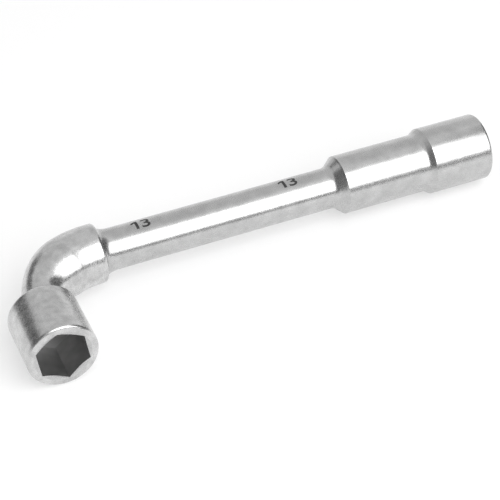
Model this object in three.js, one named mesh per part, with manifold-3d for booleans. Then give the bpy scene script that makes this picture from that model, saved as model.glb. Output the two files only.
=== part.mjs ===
// L-shaped socket wrench for 13 mm hexagon nuts: a short socket on a bent elbow, a turned shank
// and a long deep socket. Millimetres, +Z up, the wrench lying flat with its long leg along +X and
// its short socket opening towards -Y. The origin is under the middle of its box, on the table.
import * as THREE from "three";
import { mergeVertices } from "three/addons/utils/BufferGeometryUtils.js";
import Module from "manifold-3d";

const wasm = await Module();
wasm.setup();

// Hexagon sockets, the same at both ends
const HEX_AF = 13.1; // across flats: a 13 mm nut and its clearance
const SOCKET_D = 19; // outside diameter
const RIM_ROUND = 0.8; // radius of the outer edge at a mouth
const LEAD_IN_D = 15.3; // mouth of the conical lead-in
const LEAD_IN_DEPTH = 0.5;
const HEX_TURN_SHORT = THREE.MathUtils.degToRad(7); // clocking of the short socket's hexagon
const HEX_TURN_LONG = 0;

// Short leg, measured along its axis from the long leg's axis
const SHORT_BACK = 17; // back face of the short socket
const SHORT_LENGTH = 18.4; // back face to mouth
const SHORT_HEX_DEPTH = 12;
const SHORT_BACK_ROUND = 1.5;

// Elbow
const COLLAR_X = 21.8; // collar face, from the short leg's axis
const COLLAR_LENGTH = 1.6; // straight stretch before the bend
const COLLAR_D = 16.5;
const COLLAR_ROUND = 1.1;
const NECK_D = 10.8; // thinnest place, close to the short socket
const NECK_INSET = 0.9; // how far the neck stands to the inside of the short socket's axis
const NECK_FOOT = 0.8; // how far the neck flares out where it meets the socket
const NECK_START = 0.3; // share of the bend where the neck begins to draw in
const FOOT_START = 0.84; // share of the bend where its foot begins to flare

// Shank and long socket, lengths along the long leg
const SHANK_LENGTH = 70.5; // collar face to sleeve face
const SHANK_D = 11.6;
const COLLAR_HOLLOW = 4.2; // length of the hollow where the shank runs out to the collar
const SLEEVE_FLARE = 2.6; // length of the cone under the sleeve
const FLARE_FILLET = 3; // hollow radius at the foot of that cone
const SLEEVE_LENGTH = 27;
const SLEEVE_D = 16.6;
const SLEEVE_EDGE = 0.35; // broken edge at the sleeve's start
const STEP_LENGTH = 1.8; // cone from the sleeve up to the end socket
const STEP_FILLET = 2.5; // hollow radius at its foot
const END_LENGTH = 17.7;
const LONG_HEX_DEPTH = 15;
const LONG_BORE_D = 12.4; // clearance for a stud, behind the hexagon
const LONG_BORE_DEPTH = 32; // from the mouth to the end of the straight bore
const DRILL_HALF_ANGLE = THREE.MathUtils.degToRad(59);

// Brazed spigots that join the pieces
const SPIGOT_D = 8;
const SPIGOT_LENGTH = 5;
const SHORT_SPIGOT_LENGTH = 3.6;
const SPIGOT_CHAMFER = 0.4;
const BRAZE_GAP = 0.1; // round a spigot and past its end

// Facets
const ROUND_SIDES = 48;
const BEND_STEPS = 18;
const FILLET_STEPS = 4;

const CHROME = { color: 0xc4c6c8, metalness: 1, roughness: 0.3 };
const FORGED_CHROME = { color: 0xb4b6b8, metalness: 1, roughness: 0.42 };

// Solids

function toSolid(geometry) {
  const bare = geometry.clone();
  bare.deleteAttribute("normal");
  bare.deleteAttribute("uv");
  const merged = mergeVertices(bare, 1e-4);
  const vertProperties = new Float32Array(merged.attributes.position.array);
  const triVerts = new Uint32Array(merged.index.array);
  return new wasm.Manifold(new wasm.Mesh({ numProp: 3, vertProperties, triVerts }));
}

function toGeometry(solid) {
  const { numProp, numVert, vertProperties, triVerts } = solid.getMesh();
  const positions = new Float32Array(numVert * 3);
  for (let i = 0; i < numVert; i++) {
    positions.set(vertProperties.subarray(i * numProp, i * numProp + 3), i * 3);
  }
  const geometry = new THREE.BufferGeometry();
  geometry.setAttribute("position", new THREE.BufferAttribute(positions, 3));
  geometry.setIndex(new THREE.BufferAttribute(new Uint32Array(triVerts), 1));
  geometry.computeVertexNormals();
  return geometry;
}

// Turned profiles: points of (radius, distance along the axis), with the axis along +Y

function turned(profile) {
  return toSolid(new THREE.LatheGeometry(profile, ROUND_SIDES));
}

function at(radius, along) {
  return new THREE.Vector2(radius, along);
}

// Points of an arc about a centre, from one angle to another in degrees. Its reach along the axis
// is its radius, or a length of its own.
function arc(centre, radius, from, to, along = radius) {
  const points = [];
  for (let i = 0; i <= FILLET_STEPS; i++) {
    const angle = THREE.MathUtils.degToRad(from + ((to - from) * i) / FILLET_STEPS);
    points.push(at(centre.x + radius * Math.cos(angle), centre.y + along * Math.sin(angle)));
  }
  return points;
}

// A cone from an inner radius up to an outer one that ends at a place on the axis, with a hollow
// at its foot.
function flare(inner, outer, end, length, fillet) {
  const slope = Math.atan2(outer - inner, length);
  const foot = end - length - fillet * Math.tan(slope / 2);
  const turn = THREE.MathUtils.radToDeg(slope);
  return [...arc(at(inner + fillet, foot), fillet, 180, 180 - turn), at(outer, end)];
}

// A plain cylinder from one place on the axis to another.
function plug(diameter, from, to) {
  const radius = diameter / 2;
  return turned([at(0, from), at(radius, from), at(radius, to), at(0, to)]);
}

// The cutter for a socket whose mouth is at a place on the axis: hexagon and lead-in cone.
function socketCutter(mouth, depth, turn) {
  const past = 1; // beyond the mouth, so that the cut is clean
  const corner = HEX_AF / Math.sqrt(3);
  const prism = new THREE.CylinderGeometry(corner, corner, depth + past, 6);
  prism.rotateY(turn);
  prism.translate(0, mouth - (depth - past) / 2, 0);
  const lead = LEAD_IN_D / 2;
  const flank = HEX_AF / 2;
  const slope = (lead - flank) / LEAD_IN_DEPTH;
  const cone = turned([
    at(0, mouth - LEAD_IN_DEPTH),
    at(flank, mouth - LEAD_IN_DEPTH),
    at(lead + slope * past, mouth + past),
    at(0, mouth + past),
  ]);
  return toSolid(prism).add(cone);
}

// The hole that takes a spigot, from a face to a depth along the axis.
function spigotHole(face, depth) {
  const past = 1;
  return plug(SPIGOT_D + 2 * BRAZE_GAP, face - past, face + depth + BRAZE_GAP);
}

// Profile points of a spigot that stands below a face, from its end on the axis up to the face.
function spigotBelow(face, length) {
  const radius = SPIGOT_D / 2;
  const end = face - length;
  return [
    at(0, end),
    at(radius - SPIGOT_CHAMFER, end),
    at(radius, end + SPIGOT_CHAMFER),
    at(radius, face),
  ];
}

// Profile points of a spigot that stands above a face, from the face to its end on the axis.
function spigotAbove(face, length) {
  const mirrored = spigotBelow(-face, length).map((point) => at(point.x, -point.y));
  return mirrored.reverse();
}

// Short socket, along its own axis from the back face at 0 to the mouth

function shortSocket() {
  const radius = SOCKET_D / 2;
  const body = turned([
    at(0, 0),
    ...arc(at(radius - SHORT_BACK_ROUND, SHORT_BACK_ROUND), SHORT_BACK_ROUND, -90, 0),
    ...arc(at(radius - RIM_ROUND, SHORT_LENGTH - RIM_ROUND), RIM_ROUND, 0, 90),
    at(0, SHORT_LENGTH),
  ]);
  const hexagon = socketCutter(SHORT_LENGTH, SHORT_HEX_DEPTH, HEX_TURN_SHORT);
  return body.subtract(hexagon).subtract(spigotHole(0, SHORT_SPIGOT_LENGTH));
}

// Elbow: round sections along a quarter ellipse from the collar to the short socket's back face

function sectionRadius(share) {
  const drawIn = THREE.MathUtils.smoothstep(share, NECK_START, FOOT_START);
  const flare = Math.max(0, (share - FOOT_START) / (1 - FOOT_START));
  const foot = 1 - Math.sqrt(1 - flare * flare);
  return THREE.MathUtils.lerp(COLLAR_D / 2, NECK_D / 2, drawIn) + NECK_FOOT * foot;
}

// Rings of one swept solid, each a list of points; the first and last are closed with a fan.
function lofted(rings) {
  const sides = rings[0].length;
  const positions = rings.flat().flatMap((point) => point.toArray());
  const index = [];
  for (let r = 0; r + 1 < rings.length; r++) {
    for (let i = 0; i < sides; i++) {
      const next = (i + 1) % sides;
      const [a, b] = [r * sides + i, r * sides + next];
      const [c, d] = [a + sides, b + sides];
      index.push(a, b, c, b, d, c);
    }
  }
  const last = (rings.length - 1) * sides;
  for (let i = 1; i + 1 < sides; i++) {
    index.push(0, i + 1, i);
    index.push(last, last + i, last + i + 1);
  }
  const geometry = new THREE.BufferGeometry();
  geometry.setAttribute("position", new THREE.Float32BufferAttribute(positions, 3));
  geometry.setIndex(index);
  return toSolid(geometry);
}

// A ring of points round a place on the elbow's line, square to its direction in the XY plane.
function ring(place, direction, radius) {
  const across = new THREE.Vector3(-direction.y, direction.x, 0);
  const points = [];
  for (let i = 0; i < ROUND_SIDES; i++) {
    const angle = (2 * Math.PI * i) / ROUND_SIDES;
    const point = place.clone().addScaledVector(across, radius * Math.cos(angle));
    points.push(point.setZ(radius * Math.sin(angle)));
  }
  return points;
}

function elbow() {
  const reach = COLLAR_X - COLLAR_LENGTH - NECK_INSET; // the bend's reach along the long leg
  const rings = [];
  const towardsBend = new THREE.Vector3(-1, 0, 0);
  const collar = arc(at(COLLAR_D / 2 - COLLAR_ROUND, COLLAR_X - COLLAR_ROUND), COLLAR_ROUND, 90, 0);
  for (const edge of collar) {
    rings.push(ring(new THREE.Vector3(edge.y, 0, 0), towardsBend, edge.x));
  }
  for (let i = 0; i <= BEND_STEPS; i++) {
    const share = i / BEND_STEPS;
    const angle = (share * Math.PI) / 2;
    const [sine, cosine] = [Math.sin(angle), Math.cos(angle)];
    const place = new THREE.Vector3(NECK_INSET + reach * (1 - sine), SHORT_BACK * (cosine - 1), 0);
    const direction = new THREE.Vector3(-reach * cosine, -SHORT_BACK * sine, 0).normalize();
    rings.push(ring(place, direction, sectionRadius(share)));
  }
  const bend = lofted(rings);

  const shankHole = spigotHole(-COLLAR_X, SPIGOT_LENGTH).rotate([0, 0, 90]);
  const foot = turned([
    ...spigotBelow(-SHORT_BACK, SHORT_SPIGOT_LENGTH),
    at(SPIGOT_D / 2, 1 - SHORT_BACK),
    at(0, 1 - SHORT_BACK),
  ]);
  return bend.add(foot).subtract(shankHole);
}

// Shank, along its own axis from the collar face at 0 to the sleeve face

function shank() {
  const radius = SHANK_D / 2;
  const flange = COLLAR_D / 2 - COLLAR_ROUND; // its foot covers the collar's flat face
  const seat = SLEEVE_D / 2 - SLEEVE_EDGE; // its cone ends at the sleeve's edge
  return turned([
    ...spigotBelow(0, SPIGOT_LENGTH),
    ...arc(at(flange, COLLAR_HOLLOW), flange - radius, 270, 180, COLLAR_HOLLOW),
    ...flare(radius, seat, SHANK_LENGTH, SLEEVE_FLARE, FLARE_FILLET),
    ...spigotAbove(SHANK_LENGTH, SPIGOT_LENGTH),
  ]);
}

// Long socket, along its own axis from the sleeve face at 0 to the mouth

function longSocket() {
  const sleeve = SLEEVE_D / 2;
  const radius = SOCKET_D / 2;
  const mouth = SLEEVE_LENGTH + END_LENGTH;
  const body = turned([
    at(0, 0),
    at(sleeve - SLEEVE_EDGE, 0),
    at(sleeve, SLEEVE_EDGE),
    ...flare(sleeve, radius, SLEEVE_LENGTH, STEP_LENGTH, STEP_FILLET),
    ...arc(at(radius - RIM_ROUND, mouth - RIM_ROUND), RIM_ROUND, 0, 90),
    at(0, mouth),
  ]);
  const bore = LONG_BORE_D / 2;
  const boreEnd = mouth - LONG_BORE_DEPTH;
  const clearance = turned([
    at(0, boreEnd - bore / Math.tan(DRILL_HALF_ANGLE)),
    at(bore, boreEnd),
    at(bore, mouth),
    at(0, mouth),
  ]);
  const hexagon = socketCutter(mouth, LONG_HEX_DEPTH, HEX_TURN_LONG);
  return body.subtract(clearance.add(hexagon)).subtract(spigotHole(0, SPIGOT_LENGTH));
}

// Assembly

function piece(name, solid, finish) {
  const mesh = new THREE.Mesh(toGeometry(solid), new THREE.MeshStandardMaterial(finish));
  mesh.name = name;
  return mesh;
}

const wrench = new THREE.Group();

// The long leg's pieces are turned along +Y, and lie along +X here.
const longLeg = new THREE.Group();
longLeg.rotation.z = -Math.PI / 2;
const shankMesh = piece("shank", shank(), CHROME);
shankMesh.position.y = COLLAR_X;
const longSocketMesh = piece("long_socket", longSocket(), CHROME);
longSocketMesh.position.y = COLLAR_X + SHANK_LENGTH;
longLeg.add(shankMesh, longSocketMesh);

// The short leg points along -Y.
const shortLeg = new THREE.Group();
shortLeg.rotation.x = Math.PI;
const shortSocketMesh = piece("short_socket", shortSocket(), FORGED_CHROME);
shortSocketMesh.position.y = SHORT_BACK;
shortLeg.add(shortSocketMesh);

const elbowMesh = piece("elbow", elbow(), FORGED_CHROME);

// The legs' axes meet at the legs' own origin, which is moved so that the box stands on the table.
const legs = new THREE.Group();
legs.add(longLeg, shortLeg, elbowMesh);
const box = new THREE.Box3().setFromObject(legs, true);
legs.position.set(-(box.min.x + box.max.x) / 2, -(box.min.y + box.max.y) / 2, -box.min.z);
wrench.add(legs);

export default wrench;
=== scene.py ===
"""L-shaped socket wrench: fine surfaces, plating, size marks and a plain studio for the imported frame."""

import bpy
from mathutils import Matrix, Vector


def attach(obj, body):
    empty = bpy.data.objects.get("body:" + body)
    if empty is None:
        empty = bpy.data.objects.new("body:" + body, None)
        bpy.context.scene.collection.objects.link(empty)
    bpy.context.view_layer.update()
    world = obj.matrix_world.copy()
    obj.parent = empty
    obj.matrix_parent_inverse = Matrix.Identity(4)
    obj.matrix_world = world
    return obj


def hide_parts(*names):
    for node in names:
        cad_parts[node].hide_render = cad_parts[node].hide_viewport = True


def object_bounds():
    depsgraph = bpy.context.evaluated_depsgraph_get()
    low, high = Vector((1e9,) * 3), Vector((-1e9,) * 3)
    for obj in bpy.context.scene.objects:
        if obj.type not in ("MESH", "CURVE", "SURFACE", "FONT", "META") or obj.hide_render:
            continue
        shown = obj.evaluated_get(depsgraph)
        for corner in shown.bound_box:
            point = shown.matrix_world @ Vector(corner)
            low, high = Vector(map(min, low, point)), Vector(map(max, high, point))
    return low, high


bl_info = {
    "name": "L-shaped Socket Wrench",
    "version": (1, 0, 0),
    "blender": (4, 5, 0),
    "location": "View3D > Sidebar > Wrench",
    "description": "Models the pieces of an L-shaped socket wrench and a plain studio for it",
    "category": "Object",
}

import math

import bpy
from mathutils import Euler, Vector

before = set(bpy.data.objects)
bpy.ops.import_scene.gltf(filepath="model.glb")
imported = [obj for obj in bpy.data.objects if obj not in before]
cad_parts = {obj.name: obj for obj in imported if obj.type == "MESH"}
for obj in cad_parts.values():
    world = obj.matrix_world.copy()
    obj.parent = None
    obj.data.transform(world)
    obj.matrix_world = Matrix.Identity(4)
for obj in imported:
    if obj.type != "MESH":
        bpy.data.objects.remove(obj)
cad_box = [list(corner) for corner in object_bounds()]

MM = 0.001

# Fineness of the meshes
SIDES = 128
ARC_STEPS = 8
BEND_STEPS = 48
POLE_RADIUS = 0.01 * MM
MERGE = 0.02 * MM
SMOOTH_ANGLE = math.radians(28)

# Cutters: how far they stand past a mouth or into the next cut, and the drill's point
HEXAGON_PAST = 1.0 * MM
LEAD_IN_PAST = 0.5 * MM
BORE_OVERLAP = 2.0 * MM
DRILL_HALF_ANGLE = math.radians(59)

# Size marks: typeface settings, strips that follow the shank, and the ink's place and thickness
TYPE_STEPS = 6
TYPE_WEIGHT = 0.014
TYPE_SPACING = 0.82
MARK_STRIPS = 14
MARK_START = 2.0 * MM
INK_LIFT = 0.02 * MM
INK_THICKNESS = 0.03 * MM

# Finishes: the part of the noise that shows, and the grain's share of the height
NOISE_LOW = 0.3
NOISE_HIGH = 0.7
GRAIN_SHARE = 0.12

# Studio levels and sizes in metres
WORLD_LEVEL = 0.72
FLOOR_LIFT = 0.47
FLOOR_SIZE = 6.0
FLOOR_DROP = 0.05 * MM
MATT = 0.9
LIGHTS_AIM = Vector((0.05, 0.013, 0.0))

# Soft lights: name, place, width and height in metres, power in watts
SOFTBOXES = (
    ("front_softbox", (0.155, -0.42, 0.33), (0.62, 0.78), 3.7),
    ("top_softbox", (0.2, -0.1, 0.72), (1.5, 0.2), 0.22),
    ("back_softbox", (0.4, 0.6, 0.13), (0.9, 0.18), 0.13),
)

# Dark cards, upright: name, place, turn about Z in degrees, width and height in metres
CARDS = (
    ("front_card", (0.2, -0.4, 0.065), 0, (1.6, 0.13)),
    ("back_card", (-0.36, 0.42, 0.17), 40, (0.4, 0.28)),
    ("left_card", (-0.45, -0.22, 0.38), 90, (1.0, 0.6)),
    ("right_card", (0.6, -0.05, 0.45), 90, (0.8, 0.84)),
)

# Camera fitted to the view: place, turn in degrees, focal length in pixels of the square image
CAMERA_PLACE = Vector((-136.126, -336.683, 301.277)) * MM
CAMERA_TURN = (50.8265, 1.6843, -22.8645)
CAMERA_CLIP = 0.01
FOCAL_PIXELS = 1718.427
IMAGE_PIXELS = 500.0
SENSOR_WIDTH = 36.0

SOCKET_DIAMETER = 19.0
SOCKET_RADIUS = SOCKET_DIAMETER / 2 * MM

# The legs' axes meet here: the sockets' outsides touch the left, the back and the bottom of the box
CORNER = Vector((cad_box[0][0], cad_box[1][1], cad_box[0][2]))
CORNER += Vector((SOCKET_RADIUS, -SOCKET_RADIUS, SOCKET_RADIUS))


def millimetres(name, value, description):
    """A length property, given in millimetres and kept in metres."""
    return bpy.props.FloatProperty(
        name=name,
        description=description,
        default=value * MM,
        min=0.0,
        unit="LENGTH",
        precision=5,
    )


def share(name, value, description):
    """A property from 0 to 1."""
    return bpy.props.FloatProperty(
        name=name, description=description, default=value, min=0.0, max=1.0, subtype="FACTOR"
    )


def degrees(name, value, description):
    """An angle property, given in degrees."""
    return bpy.props.FloatProperty(
        name=name, description=description, default=math.radians(value), subtype="ANGLE"
    )


def grey(name, value, description):
    """A colour property that starts as a neutral grey."""
    return bpy.props.FloatVectorProperty(
        name=name,
        description=description,
        default=(value, value, value),
        min=0.0,
        max=1.0,
        subtype="COLOR",
    )


class WrenchSocketSettings(bpy.types.PropertyGroup):
    """Sizes of the two sockets"""

    across_flats: millimetres("Across flats", 13.1, "Hexagon of both sockets")
    diameter: millimetres("Diameter", SOCKET_DIAMETER, "Outside of both sockets")
    rim_round: millimetres("Rim radius", 0.8, "Outer edge at a mouth")
    lead_in: millimetres("Lead-in", 15.3, "Diameter of the lead-in cone at the mouth")
    lead_in_depth: millimetres("Lead-in depth", 0.5, "Depth of the lead-in cone")
    short_back: millimetres("Short back", 17.0, "Long axis to the short socket's back face")
    short_length: millimetres("Short length", 18.4, "Back face to mouth")
    short_depth: millimetres("Short depth", 12.0, "Hexagon depth of the short socket")
    short_turn: degrees("Short clocking", 7.0, "Turn of the short socket's hexagon")
    back_round: millimetres("Back radius", 1.5, "Edge at the short socket's back")
    sleeve: millimetres("Sleeve", 16.6, "Diameter of the long socket's sleeve")
    sleeve_edge: millimetres("Sleeve edge", 0.35, "Broken edge at the sleeve's start")
    sleeve_length: millimetres("Sleeve length", 27.0, "Sleeve face to the end socket")
    step: millimetres("Step", 1.8, "Length of the cone up to the end socket")
    step_fillet: millimetres("Step radius", 2.5, "Hollow radius at the foot of that cone")
    end_length: millimetres("End length", 17.7, "Length of the end socket")
    long_depth: millimetres("Long depth", 15.0, "Hexagon depth of the long socket")
    bore: millimetres("Bore", 12.4, "Clearance bore behind the long hexagon")
    bore_depth: millimetres("Bore depth", 32.0, "Mouth to the end of the straight bore")


class WrenchShankSettings(bpy.types.PropertyGroup):
    """Sizes of the shank and the elbow"""

    diameter: millimetres("Diameter", 11.6, "Plain length of the shank")
    start: millimetres("Start", 21.8, "Short axis to the collar face")
    length: millimetres("Length", 70.5, "Collar face to sleeve face")
    hollow: millimetres("Hollow", 4.2, "Length of the hollow next to the collar")
    flare: millimetres("Flare", 2.6, "Length of the cone under the sleeve")
    flare_fillet: millimetres("Flare radius", 3.0, "Hollow radius at the foot of the cone")
    collar: millimetres("Collar", 16.5, "Diameter of the elbow's collar")
    collar_round: millimetres("Collar radius", 1.1, "Edge of the collar")
    collar_length: millimetres("Collar length", 1.6, "Straight stretch before the bend")
    neck: millimetres("Neck", 10.8, "Thinnest place of the elbow")
    neck_inset: millimetres("Neck inset", 0.9, "Neck's place to the inside of the short axis")
    neck_foot: millimetres("Neck foot", 0.8, "Flare where the neck meets the short socket")
    neck_start: share("Neck start", 0.3, "Share of the bend where the neck draws in")
    foot_start: share("Foot start", 0.84, "Share of the bend where the foot flares")


class WrenchMarkSettings(bpy.types.PropertyGroup):
    """Text and sizes of the size marks"""

    text: bpy.props.StringProperty(name="Size", description="Plain size number", default="13")
    height: millimetres("Height", 3.3, "Height of the figures")
    width: millimetres("Width", 5.2, "Width of the whole number")
    flag_reach: millimetres("Flag reach", 1.05, "How far the flag of a 1 stands out from its bar")
    flag_drop: millimetres("Flag drop", 0.55, "How far that flag slopes down")
    flag_width: millimetres("Flag width", 0.75, "Width of that flag along the bar")
    first: millimetres("First", 33.9, "Short axis to the first number")
    second: millimetres("Second", 77.2, "Short axis to the second number")


class WrenchFinishSettings(bpy.types.PropertyGroup):
    """Colours of the finishes and the studio"""

    satin_dark: grey("Satin dark", 0.48, "Duller places of the satin plate")
    satin_light: grey("Satin light", 0.58, "Brighter places of the satin plate")
    forged_dark: grey("Forged dark", 0.49, "Duller places of the plated forging")
    # Partly real mottle of the forging, partly a painted sheen: this lighter tone brightens the short
    # socket's top and the elbow in place of brighter reflected light.
    forged_mottle_and_sheen: grey("Forged mottle and sheen", 0.68, "Brighter places of the plated forging")
    steel_dark: grey("Steel dark", 0.36, "Duller places inside the sockets")
    steel_light: grey("Steel light", 0.47, "Brighter places inside the sockets")
    ink_dark: grey("Ink dark", 0.012, "Full places of the size marks")
    ink_light: grey("Ink light", 0.035, "Worn places of the size marks")
    floor: grey("Floor", 0.5, "Studio floor")
    card: grey("Card", 0.17, "Cards that darken parts of the reflections")


# Mesh helpers


def clear_selection():
    """Goes to object mode with nothing selected."""
    if bpy.context.object and bpy.context.object.mode != "OBJECT":
        bpy.ops.object.mode_set(mode="OBJECT")
    bpy.ops.object.select_all(action="DESELECT")


def pick(obj):
    """Selects one object alone and makes it the active one."""
    clear_selection()
    obj.select_set(True)
    bpy.context.view_layer.objects.active = obj


def settle(obj):
    """Puts an object's place, turn and scale into its mesh."""
    pick(obj)
    bpy.ops.object.transform_apply(location=True, rotation=True, scale=True)


def merge_points():
    """Merges the points that lie on each other in the mesh being edited, and selects it all."""
    bpy.ops.mesh.select_all(action="SELECT")
    bpy.ops.mesh.remove_doubles(threshold=MERGE)
    bpy.ops.mesh.dissolve_degenerate(threshold=MERGE / 10)
    bpy.ops.mesh.select_all(action="SELECT")


def sweep(name, stations):
    """A solid through rings of (place, heading about Z, radius), each extruded from the last one."""
    place, heading, radius = stations[0]
    clear_selection()
    bpy.ops.mesh.primitive_circle_add(
        vertices=SIDES, radius=radius, location=place, rotation=(0, math.pi / 2, heading)
    )
    obj = bpy.context.object
    obj.name = name
    obj.data.name = name
    settle(obj)
    bpy.ops.object.mode_set(mode="EDIT")
    bpy.ops.mesh.select_mode(type="EDGE")
    bpy.ops.mesh.select_all(action="SELECT")
    bpy.ops.mesh.edge_face_add()
    for new_place, new_heading, new_radius in stations[1:]:
        bpy.ops.mesh.extrude_region()
        bpy.ops.transform.translate(value=new_place - place)
        if new_heading != heading:
            bpy.ops.transform.rotate(
                value=heading - new_heading, orient_axis="Z", center_override=new_place
            )
        scale = new_radius / radius
        bpy.ops.transform.resize(value=(scale, scale, scale), center_override=new_place)
        place, heading, radius = new_place, new_heading, new_radius
    merge_points()
    bpy.ops.mesh.normals_make_consistent(inside=False)
    bpy.ops.object.mode_set(mode="OBJECT")
    return obj


def along(origin, heading, profile):
    """Stations of a turned piece: profile points of (radius, distance) along a heading about Z."""
    direction = Vector((math.cos(heading), math.sin(heading), 0))
    return [(origin + direction * distance, heading, radius) for radius, distance in profile]


def close(stations):
    """Brings both ends of a row of stations to the axis, so that the solid is closed."""
    first, last = [(*stations[end][:2], POLE_RADIUS) for end in (0, -1)]
    return [first] + stations + [last]


def arc(radius_at, distance_at, radius, start, end, reach=None):
    """Profile points of an arc between two angles, with its own reach along the axis if given."""
    points = []
    for i in range(ARC_STEPS + 1):
        angle = math.radians(start + (end - start) * i / ARC_STEPS)
        points.append(
            (
                radius_at + radius * math.cos(angle),
                distance_at + (reach or radius) * math.sin(angle),
            )
        )
    return points


def flare(inner, outer, end, reach, fillet):
    """Profile points of a cone up to an outer radius, with a hollow at its foot."""
    slope = math.atan2(outer - inner, reach)
    foot = end - reach - fillet * math.tan(slope / 2)
    return arc(inner + fillet, foot, fillet, 180, 180 - math.degrees(slope)) + [(outer, end)]


def cut(obj, cutter, material):
    """Takes a cutter's solid out of a piece, gives the cut its material and removes the cutter."""
    cutter.data.materials.append(material)
    modifier = obj.modifiers.new("cut", "BOOLEAN")
    modifier.object = cutter
    modifier.operation = "DIFFERENCE"
    modifier.solver = "EXACT"
    modifier.material_mode = "TRANSFER"
    pick(obj)
    bpy.ops.object.modifier_apply(modifier=modifier.name)
    bpy.data.objects.remove(cutter, do_unlink=True)
    bpy.ops.object.mode_set(mode="EDIT")
    merge_points()
    bpy.ops.object.mode_set(mode="OBJECT")


def hexagon_cutter(mouth, heading, across, depth, clocking):
    """A hexagonal prism from past the mouth to a depth behind it, a corner on top before clocking."""
    direction = Vector((math.cos(heading), math.sin(heading), 0))
    lay = Euler((0, math.pi / 2, 0)).to_matrix()
    clock = Euler((clocking + math.pi / 6, 0, 0)).to_matrix()
    aim = Euler((0, 0, heading)).to_matrix()
    clear_selection()
    bpy.ops.mesh.primitive_cylinder_add(
        vertices=6,
        radius=across / math.sqrt(3),
        depth=depth + HEXAGON_PAST,
        location=mouth - direction * (depth - HEXAGON_PAST) / 2,
        rotation=(aim @ clock @ lay).to_euler(),
    )
    cutter = bpy.context.object
    settle(cutter)
    return cutter


def open_socket(obj, mouth, heading, depth, clocking):
    """Cuts a hexagon and its lead-in cone into a socket's mouth."""
    sizes = bpy.context.scene.wrench_sockets
    hexagon = hexagon_cutter(mouth, heading, sizes.across_flats, depth, clocking)
    cut(obj, hexagon, bare_steel())
    flank = sizes.across_flats / 2
    slope = (sizes.lead_in / 2 - flank) / sizes.lead_in_depth
    profile = [
        (flank - slope * LEAD_IN_PAST, -sizes.lead_in_depth - LEAD_IN_PAST),
        (sizes.lead_in / 2 + slope * LEAD_IN_PAST, LEAD_IN_PAST),
    ]
    cut(obj, sweep("lead_in", close(along(mouth, heading, profile))), satin_chrome())


def finish_piece(obj, node, material):
    """Shades a piece and hands it to the frame."""
    pick(obj)
    bpy.ops.object.shade_smooth_by_angle(angle=SMOOTH_ANGLE)
    if material.name not in obj.data.materials:
        obj.data.materials.append(material)
    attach(obj, "root")
    if node:
        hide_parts(node)


# Materials


def add_node(tree, kind, at, **values):
    """A node at a place in its tree, with values for its sockets or settings."""
    node = tree.nodes.new(kind)
    node.location = at
    for name, value in values.items():
        if name in node.inputs:
            node.inputs[name].default_value = value
        else:
            setattr(node, name, value)
    return node


def uneven_finish_group():
    """Shader group for a finish with a cloudy tone, an uneven gloss and a height for fine waviness."""
    name = "Uneven finish"
    if name in bpy.data.node_groups:
        return bpy.data.node_groups[name]
    tree = bpy.data.node_groups.new(name, "ShaderNodeTree")
    sockets = tree.interface
    for label in ("Dark", "Light"):
        sockets.new_socket(label, in_out="INPUT", socket_type="NodeSocketColor")
    for label, low, high in (
        ("Gloss Low", 0.0, 1.0),
        ("Gloss High", 0.0, 1.0),
        ("Waviness", 1.0, 5000.0),
        ("Grain", 1.0, 20000.0),
    ):
        socket = sockets.new_socket(label, in_out="INPUT", socket_type="NodeSocketFloat")
        socket.min_value = low
        socket.max_value = high
    sockets.new_socket("Color", in_out="OUTPUT", socket_type="NodeSocketColor")
    sockets.new_socket("Roughness", in_out="OUTPUT", socket_type="NodeSocketFloat")
    sockets.new_socket("Height", in_out="OUTPUT", socket_type="NodeSocketFloat")
    given = add_node(tree, "NodeGroupInput", (-900, 0))
    result = add_node(tree, "NodeGroupOutput", (500, 0))
    place = add_node(tree, "ShaderNodeTexCoord", (-900, 300))
    cloud = add_node(tree, "ShaderNodeTexNoise", (-600, 300), Detail=3.0, Roughness=0.55)
    grain = add_node(tree, "ShaderNodeTexNoise", (-600, 0), Detail=2.0, Roughness=0.6)
    share_light = add_node(tree, "ShaderNodeMapRange", (-200, 300))
    tone = add_node(tree, "ShaderNodeMix", (150, 300), data_type="RGBA")
    factor, dark, light = [socket for socket in tone.inputs if socket.enabled]
    toned = [socket for socket in tone.outputs if socket.enabled][0]
    gloss = add_node(tree, "ShaderNodeMapRange", (-200, 0))
    height = add_node(tree, "ShaderNodeMath", (-200, -300), operation="MULTIPLY_ADD")
    height.inputs[1].default_value = GRAIN_SHARE
    links = tree.links
    links.new(place.outputs["Object"], cloud.inputs["Vector"])
    links.new(place.outputs["Object"], grain.inputs["Vector"])
    links.new(given.outputs["Waviness"], cloud.inputs["Scale"])
    links.new(given.outputs["Grain"], grain.inputs["Scale"])
    for node in (share_light, gloss):
        node.inputs["From Min"].default_value = NOISE_LOW
        node.inputs["From Max"].default_value = NOISE_HIGH
    links.new(cloud.outputs["Fac"], share_light.inputs["Value"])
    links.new(share_light.outputs["Result"], factor)
    links.new(given.outputs["Dark"], dark)
    links.new(given.outputs["Light"], light)
    links.new(grain.outputs["Fac"], gloss.inputs["Value"])
    links.new(given.outputs["Gloss Low"], gloss.inputs["To Min"])
    links.new(given.outputs["Gloss High"], gloss.inputs["To Max"])
    links.new(grain.outputs["Fac"], height.inputs[0])
    links.new(cloud.outputs["Fac"], height.inputs[2])
    links.new(toned, result.inputs["Color"])
    links.new(gloss.outputs["Result"], result.inputs["Roughness"])
    links.new(height.outputs["Value"], result.inputs["Height"])
    return tree


def new_material(name):
    """A new material with its tree and its shader."""
    material = bpy.data.materials.new(name)
    material.use_nodes = True
    return material, material.node_tree, material.node_tree.nodes["Principled BSDF"]


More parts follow.
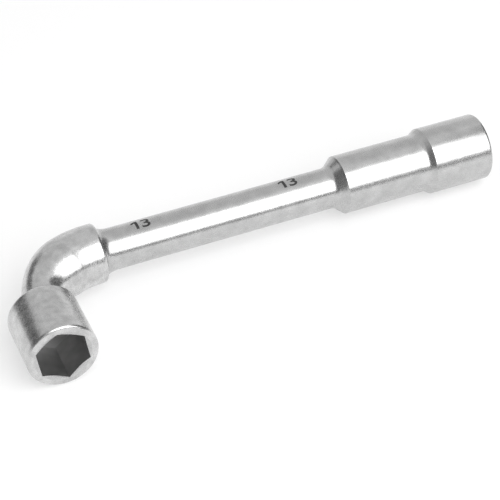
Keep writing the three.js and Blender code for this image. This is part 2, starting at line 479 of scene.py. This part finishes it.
def uneven_material(name, dark, light, gloss, waviness, grain, depth, metallic=1.0):
    """A material of one uneven finish, made once."""
    if name in bpy.data.materials:
        return bpy.data.materials[name]
    material, tree, shader = new_material(name)
    shader.inputs["Metallic"].default_value = metallic
    group = add_node(tree, "ShaderNodeGroup", (-600, 200), node_tree=uneven_finish_group())
    for label, value in (
        ("Dark", (*dark, 1)),
        ("Light", (*light, 1)),
        ("Gloss Low", gloss[0]),
        ("Gloss High", gloss[1]),
        ("Waviness", waviness),
        ("Grain", grain),
    ):
        group.inputs[label].default_value = value
    bump = add_node(tree, "ShaderNodeBump", (-300, -200), Strength=1.0, Distance=depth)
    tree.links.new(group.outputs["Color"], shader.inputs["Base Color"])
    tree.links.new(group.outputs["Roughness"], shader.inputs["Roughness"])
    tree.links.new(group.outputs["Height"], bump.inputs["Height"])
    tree.links.new(bump.outputs["Normal"], shader.inputs["Normal"])
    return material


def satin_chrome():
    """Even plate on turned steel."""
    tones = bpy.context.scene.wrench_finishes
    return uneven_material(
        "Satin chrome",
        tones.satin_dark,
        tones.satin_light,
        gloss=(0.22, 0.31),
        waviness=300.0,
        grain=3200.0,
        depth=0.014 * MM,
    )


def forged_chrome():
    """Plate on an uneven forging, whose lighter tone is partly a painted sheen that stands in for brighter
    reflected light.
    """
    tones = bpy.context.scene.wrench_finishes
    return uneven_material(
        "Forged chrome",
        tones.forged_dark,
        tones.forged_mottle_and_sheen,
        gloss=(0.2, 0.33),
        waviness=420.0,
        grain=1300.0,
        depth=0.04 * MM,
    )


def bare_steel():
    """Dull steel inside the sockets."""
    tones = bpy.context.scene.wrench_finishes
    return uneven_material(
        "Bare steel",
        tones.steel_dark,
        tones.steel_light,
        gloss=(0.4, 0.5),
        waviness=300.0,
        grain=1200.0,
        depth=0.02 * MM,
    )


def mark_ink():
    """Dark ink of the size marks."""
    tones = bpy.context.scene.wrench_finishes
    return uneven_material(
        "Mark ink",
        tones.ink_dark,
        tones.ink_light,
        gloss=(0.45, 0.65),
        waviness=900.0,
        grain=3200.0,
        depth=0.004 * MM,
        metallic=0.0,
    )


# Pieces


class WRENCH_OT_short_socket(bpy.types.Operator):
    """Model the short socket with its hexagon"""

    bl_idname = "wrench.short_socket"
    bl_label = "Short Socket"

    def execute(self, context):
        sizes = context.scene.wrench_sockets
        radius = sizes.diameter / 2
        rounded = sizes.back_round
        rim = sizes.rim_round
        profile = arc(radius - rounded, rounded, rounded, -90, 0)
        profile += arc(radius - rim, sizes.short_length - rim, rim, 0, 90)
        heading = -math.pi / 2
        back = CORNER + Vector((0, -sizes.short_back, 0))
        mouth = back + Vector((0, -sizes.short_length, 0))
        obj = sweep("short_socket_body", close(along(back, heading, profile)))
        obj.data.materials.append(forged_chrome())
        open_socket(obj, mouth, heading, sizes.short_depth, sizes.short_turn)
        finish_piece(obj, "short_socket", forged_chrome())
        return {"FINISHED"}


class WRENCH_OT_elbow(bpy.types.Operator):
    """Model the bent elbow with its collar and neck"""

    bl_idname = "wrench.elbow"
    bl_label = "Elbow"

    def execute(self, context):
        sizes = context.scene.wrench_shank
        back = context.scene.wrench_sockets.short_back
        collar = sizes.collar / 2
        reach = sizes.start - sizes.collar_length - sizes.neck_inset
        edge = arc(collar - sizes.collar_round, -sizes.collar_round, sizes.collar_round, 90, 0)
        stations = [
            (CORNER + Vector((sizes.start + distance, 0, 0)), math.pi, radius)
            for radius, distance in edge
        ]
        for i in range(BEND_STEPS + 1):
            part = i / BEND_STEPS
            angle = part * math.pi / 2
            place = Vector(
                (
                    sizes.neck_inset + reach * (1 - math.sin(angle)),
                    back * (math.cos(angle) - 1),
                    0,
                )
            )
            heading = math.atan2(-back * math.sin(angle), -reach * math.cos(angle)) % (2 * math.pi)
            stations.append((CORNER + place, heading, self.radius_at(sizes, part)))
        obj = sweep("elbow_bend", close(stations))
        finish_piece(obj, "elbow", forged_chrome())
        return {"FINISHED"}

    def radius_at(self, sizes, part):
        """Radius at a share of the bend: the collar's, then drawn in to the neck, then flared at its foot."""
        drawn = min(1, max(0, (part - sizes.neck_start) / (sizes.foot_start - sizes.neck_start)))
        drawn = drawn * drawn * (3 - 2 * drawn)
        along_foot = max(0, (part - sizes.foot_start) / (1 - sizes.foot_start))
        foot = 1 - math.sqrt(1 - along_foot * along_foot)
        return (sizes.collar + (sizes.neck - sizes.collar) * drawn) / 2 + sizes.neck_foot * foot


class WRENCH_OT_shank(bpy.types.Operator):
    """Model the turned shank between collar and sleeve"""

    bl_idname = "wrench.shank"
    bl_label = "Shank"

    def execute(self, context):
        sizes = context.scene.wrench_shank
        sockets = context.scene.wrench_sockets
        radius = sizes.diameter / 2
        flange = sizes.collar / 2 - sizes.collar_round
        seat = sockets.sleeve / 2 - sockets.sleeve_edge
        profile = arc(flange, sizes.hollow, flange - radius, 270, 180, sizes.hollow)
        profile += flare(radius, seat, sizes.length, sizes.flare, sizes.flare_fillet)
        start = CORNER + Vector((sizes.start, 0, 0))
        obj = sweep("shank_bar", close(along(start, 0.0, profile)))
        finish_piece(obj, "shank", satin_chrome())
        return {"FINISHED"}


class WRENCH_OT_long_socket(bpy.types.Operator):
    """Model the long socket with its sleeve, step, hexagon and bore"""

    bl_idname = "wrench.long_socket"
    bl_label = "Long Socket"

    def execute(self, context):
        sizes = context.scene.wrench_sockets
        shank = context.scene.wrench_shank
        sleeve = sizes.sleeve / 2
        radius = sizes.diameter / 2
        rim = sizes.rim_round
        end = sizes.sleeve_length + sizes.end_length
        profile = [(sleeve - sizes.sleeve_edge, 0.0), (sleeve, sizes.sleeve_edge)]
        profile += flare(sleeve, radius, sizes.sleeve_length, sizes.step, sizes.step_fillet)
        profile += arc(radius - rim, end - rim, rim, 0, 90)
        start = CORNER + Vector((shank.start + shank.length, 0, 0))
        mouth = start + Vector((end, 0, 0))
        obj = sweep("long_socket_body", close(along(start, 0.0, profile)))
        obj.data.materials.append(satin_chrome())
        bore = sizes.bore / 2
        drilled = [
            (POLE_RADIUS, -sizes.bore_depth - bore / math.tan(DRILL_HALF_ANGLE)),
            (bore, -sizes.bore_depth),
            (bore, -BORE_OVERLAP),
            (POLE_RADIUS, -BORE_OVERLAP),
        ]
        cut(obj, sweep("bore", along(mouth, 0.0, drilled)), bare_steel())
        open_socket(obj, mouth, 0.0, sizes.long_depth, 0.0)
        finish_piece(obj, "long_socket", satin_chrome())
        return {"FINISHED"}


class WRENCH_OT_size_marks(bpy.types.Operator):
    """Put the plain size number twice on the shank"""

    bl_idname = "wrench.size_marks"
    bl_label = "Size Marks"

    def execute(self, context):
        sizes = context.scene.wrench_marks
        target = bpy.data.objects["shank_bar"]
        for name, distance in (("size_mark_first", sizes.first), ("size_mark_second", sizes.second)):
            obj = self.figures(name, sizes)
            top = context.scene.wrench_shank.diameter / 2 + MARK_START
            obj.location = CORNER + Vector((distance, 0, top))
            settle(obj)
            wrap = obj.modifiers.new("wrap", "SHRINKWRAP")
            wrap.target = target
            wrap.wrap_method = "PROJECT"
            wrap.use_project_z = True
            wrap.use_negative_direction = True
            wrap.offset = INK_LIFT
            thick = obj.modifiers.new("thickness", "SOLIDIFY")
            thick.thickness = INK_THICKNESS
            for modifier in (wrap.name, thick.name):
                bpy.ops.object.modifier_apply(modifier=modifier)
            finish_piece(obj, None, mark_ink())
        return {"FINISHED"}

    def figures(self, name, sizes):
        """The number as a flat mesh cut into strips, so that it can follow the shank."""
        clear_selection()
        bpy.ops.object.text_add()
        text = bpy.context.object
        text.data.body = sizes.text
        text.data.align_x = "CENTER"
        text.data.align_y = "CENTER"
        text.data.resolution_u = TYPE_STEPS
        text.data.offset = TYPE_WEIGHT
        text.data.space_character = TYPE_SPACING
        bpy.ops.object.convert(target="MESH")
        obj = bpy.context.object
        obj.name = name
        obj.data.name = name
        low = Vector([min(v.co[i] for v in obj.data.vertices) for i in range(3)])
        high = Vector([max(v.co[i] for v in obj.data.vertices) for i in range(3)])
        middle = (low + high) / 2
        flag = sizes.flag_reach if sizes.text.startswith("1") else 0.0
        obj.scale = ((sizes.width - flag) / (high.x - low.x), sizes.height / (high.y - low.y), 1)
        obj.location = (flag / 2 - middle.x * obj.scale.x, -middle.y * obj.scale.y, 0)
        settle(obj)
        if flag:
            self.add_flag(obj, sizes)
        bpy.ops.object.mode_set(mode="EDIT")
        for i in range(1, MARK_STRIPS):
            bpy.ops.mesh.select_all(action="SELECT")
            place = sizes.height * (i / MARK_STRIPS - 0.5)
            bpy.ops.mesh.bisect(plane_co=(0, place, 0), plane_no=(0, 1, 0))
        bpy.ops.object.mode_set(mode="OBJECT")
        return obj

    def add_flag(self, obj, sizes):
        """Draws a slanted flag out of the leading 1, which is a plain bar in the built-in typeface."""
        under = sizes.height / 2 - sizes.flag_width
        bpy.ops.object.mode_set(mode="EDIT")
        bpy.ops.mesh.select_mode(type="VERT")
        bpy.ops.mesh.select_all(action="SELECT")
        bpy.ops.mesh.bisect(plane_co=(0, under, 0), plane_no=(0, 1, 0))
        bpy.ops.mesh.select_all(action="DESELECT")
        bpy.ops.object.mode_set(mode="OBJECT")
        left = min(vertex.co.x for vertex in obj.data.vertices)
        for vertex in obj.data.vertices:
            vertex.select = vertex.co.x < left + MERGE and vertex.co.y > under - MERGE
        bpy.ops.object.mode_set(mode="EDIT")
        bpy.ops.mesh.extrude_region()
        bpy.ops.transform.translate(value=(-sizes.flag_reach, -sizes.flag_drop, 0))
        bpy.ops.mesh.select_all(action="DESELECT")
        bpy.ops.object.mode_set(mode="OBJECT")
        for face in obj.data.polygons:
            face.select = face.normal.z < 0
        bpy.ops.object.mode_set(mode="EDIT")
        bpy.ops.mesh.select_mode(type="FACE")
        bpy.ops.mesh.flip_normals()
        bpy.ops.object.mode_set(mode="OBJECT")


# Studio


class WRENCH_OT_stage(bpy.types.Operator):
    """Set up the floor, soft light, dark cards and camera"""

    bl_idname = "wrench.stage"
    bl_label = "Studio"

    def execute(self, context):
        scene = context.scene
        scene.view_settings.view_transform = "Standard"
        self.world(scene)
        self.floor(scene.wrench_finishes.floor)
        for name, place, size, power in SOFTBOXES:
            self.light(name, Vector(place), size, power)
        dark, _tree, shader = new_material("Dark card")
        shader.inputs["Base Color"].default_value = (*scene.wrench_finishes.card, 1)
        shader.inputs["Roughness"].default_value = MATT
        for name, place, heading, size in CARDS:
            self.card(name, place, math.radians(heading), size, dark)
        self.camera(scene)
        return {"FINISHED"}

    def world(self, scene):
        """An even grey surround."""
        scene.world = bpy.data.worlds.new("Studio")
        scene.world.use_nodes = True
        shade = scene.world.node_tree.nodes["Background"]
        shade.inputs["Color"].default_value = (WORLD_LEVEL, WORLD_LEVEL, WORLD_LEVEL, 1)
        shade.inputs["Strength"].default_value = 1.0

    def floor(self, color):
        """A floor that the camera and the metal see lifted to white, with the shadow left on it."""
        clear_selection()
        bpy.ops.mesh.primitive_plane_add(size=FLOOR_SIZE, location=(0, 0, -FLOOR_DROP))
        floor = bpy.context.object
        floor.name = "floor"
        material, tree, shader = new_material("Pale floor")
        shader.inputs["Base Color"].default_value = (*color, 1)
        shader.inputs["Roughness"].default_value = MATT
        shader.inputs["Specular IOR Level"].default_value = 0.0
        shader.inputs["Emission Color"].default_value = (1, 1, 1, 1)
        path = add_node(tree, "ShaderNodeLightPath", (-1000, 0))
        seen = path.outputs["Is Camera Ray"]
        for kind, across in (("Is Glossy Ray", -750), ("Is Transmission Ray", -500)):
            either = add_node(tree, "ShaderNodeMath", (across, 0), operation="MAXIMUM")
            tree.links.new(seen, either.inputs[0])
            tree.links.new(path.outputs[kind], either.inputs[1])
            seen = either.outputs["Value"]
        lift = add_node(tree, "ShaderNodeMath", (-250, 0), operation="MULTIPLY")
        lift.inputs[1].default_value = FLOOR_LIFT
        tree.links.new(seen, lift.inputs[0])
        tree.links.new(lift.outputs["Value"], shader.inputs["Emission Strength"])
        floor.data.materials.append(material)

    def light(self, name, place, size, power):
        """A soft light turned towards the long leg."""
        data = bpy.data.lights.new(name, "AREA")
        data.shape = "RECTANGLE"
        data.size, data.size_y = size
        data.energy = power
        lamp = bpy.data.objects.new(name, data)
        bpy.context.scene.collection.objects.link(lamp)
        lamp.location = place
        lamp.rotation_euler = (LIGHTS_AIM - place).to_track_quat("-Z", "Y").to_euler()
        lamp.visible_camera = False

    def card(self, name, place, heading, size, material):
        """An upright card that only mirrored light meets."""
        clear_selection()
        bpy.ops.mesh.primitive_plane_add(size=1.0, location=place, rotation=(math.pi / 2, 0, heading))
        card = bpy.context.object
        card.name = name
        card.scale = (*size, 1)
        settle(card)
        card.data.materials.append(material)
        card.visible_camera = False
        card.visible_diffuse = False
        card.visible_shadow = False

    def camera(self, scene):
        """The camera at the photograph's viewing angle."""
        camera = bpy.data.objects.new("camera", bpy.data.cameras.new("camera"))
        scene.collection.objects.link(camera)
        camera.location = CAMERA_PLACE
        camera.rotation_euler = [math.radians(angle) for angle in CAMERA_TURN]
        camera.data.sensor_width = SENSOR_WIDTH
        camera.data.lens = FOCAL_PIXELS * SENSOR_WIDTH / IMAGE_PIXELS
        camera.data.clip_start = CAMERA_CLIP
        scene.camera = camera


class WRENCH_PT_panel(bpy.types.Panel):
    """Lists the settings with the operators that use them"""

    bl_label = "Socket Wrench"
    bl_idname = "WRENCH_PT_panel"
    bl_space_type = "VIEW_3D"
    bl_region_type = "UI"
    bl_category = "Wrench"

    def draw(self, context):
        scene = context.scene
        for settings, operators in (
            (scene.wrench_sockets, (WRENCH_OT_short_socket, WRENCH_OT_long_socket)),
            (scene.wrench_shank, (WRENCH_OT_elbow, WRENCH_OT_shank)),
            (scene.wrench_marks, (WRENCH_OT_size_marks,)),
            (scene.wrench_finishes, (WRENCH_OT_stage,)),
        ):
            box = self.layout.box()
            for name in settings.__annotations__:
                box.prop(settings, name)
            for operator in operators:
                box.operator(operator.bl_idname)


CLASSES = (
    WrenchSocketSettings,
    WrenchShankSettings,
    WrenchMarkSettings,
    WrenchFinishSettings,
    WRENCH_OT_short_socket,
    WRENCH_OT_elbow,
    WRENCH_OT_shank,
    WRENCH_OT_long_socket,
    WRENCH_OT_size_marks,
    WRENCH_OT_stage,
    WRENCH_PT_panel,
)


def register():
    for cls in CLASSES:
        bpy.utils.register_class(cls)
    bpy.types.Scene.wrench_sockets = bpy.props.PointerProperty(type=WrenchSocketSettings)
    bpy.types.Scene.wrench_shank = bpy.props.PointerProperty(type=WrenchShankSettings)
    bpy.types.Scene.wrench_marks = bpy.props.PointerProperty(type=WrenchMarkSettings)
    bpy.types.Scene.wrench_finishes = bpy.props.PointerProperty(type=WrenchFinishSettings)


def unregister():
    del bpy.types.Scene.wrench_finishes
    del bpy.types.Scene.wrench_marks
    del bpy.types.Scene.wrench_shank
    del bpy.types.Scene.wrench_sockets
    for cls in reversed(CLASSES):
        bpy.utils.unregister_class(cls)


def main():
    register()
    bpy.ops.wrench.short_socket()
    bpy.ops.wrench.elbow()
    bpy.ops.wrench.shank()
    bpy.ops.wrench.long_socket()
    bpy.ops.wrench.size_marks()
    bpy.ops.wrench.stage()


if __name__ == "__main__":
    main()
